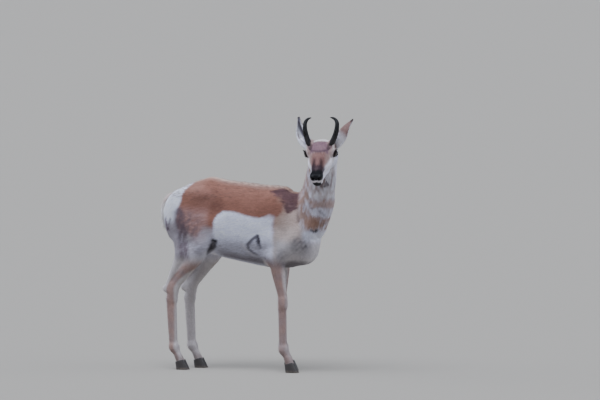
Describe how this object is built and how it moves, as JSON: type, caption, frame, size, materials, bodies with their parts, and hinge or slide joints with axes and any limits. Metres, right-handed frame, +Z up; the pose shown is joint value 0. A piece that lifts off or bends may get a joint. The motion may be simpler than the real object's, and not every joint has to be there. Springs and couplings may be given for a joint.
{
  "type": "standing pronghorn buck, still life-size model",
  "caption": "Life-size pronghorn buck standing on four split hooves, neck upright and head turned to its right, with short hooked horns, open ears and a short tail.",
  "frame": {"origin": "on the ground, under the middle of the whole animal's bounding box", "axes": "+Z up, +X towards the chest, +Y to the animal's left"},
  "size_m": [0.9873, 0.4097, 1.2192],
  "materials": {
    "saddle_hide": "short rufous coat",
    "pale_hide": "short tan and cream coat",
    "white_hide": "white coat",
    "horn": "black horn sheath, satin",
    "hoof": "dark horn, worn satin",
    "eye": "wet gloss"
  },
  "bodies": {
    "root": {"ear_left": "pale_hide", "ear_right": "pale_hide", "eye_left": "eye", "eye_right": "eye", "foreleg_lower_left": "pale_hide", "foreleg_lower_right": "pale_hide", "foreleg_upper_left": "pale_hide", "foreleg_upper_right": "pale_hide", "head": "pale_hide", "hindleg_lower_left": "pale_hide", "hindleg_lower_right": "pale_hide", "hindleg_upper_left": "saddle_hide", "hindleg_upper_right": "saddle_hide", "hoof_fore_left_inner": "hoof", "hoof_fore_left_outer": "hoof", "hoof_fore_right_inner": "hoof", "hoof_fore_right_outer": "hoof", "hoof_hind_left_inner": "hoof", "hoof_hind_left_outer": "hoof", "hoof_hind_right_inner": "hoof", "hoof_hind_right_outer": "hoof", "horn_left": "horn", "horn_right": "horn", "neck": "pale_hide", "tail": "white_hide", "torso": "saddle_hide"}
  },
  "joints": []
}
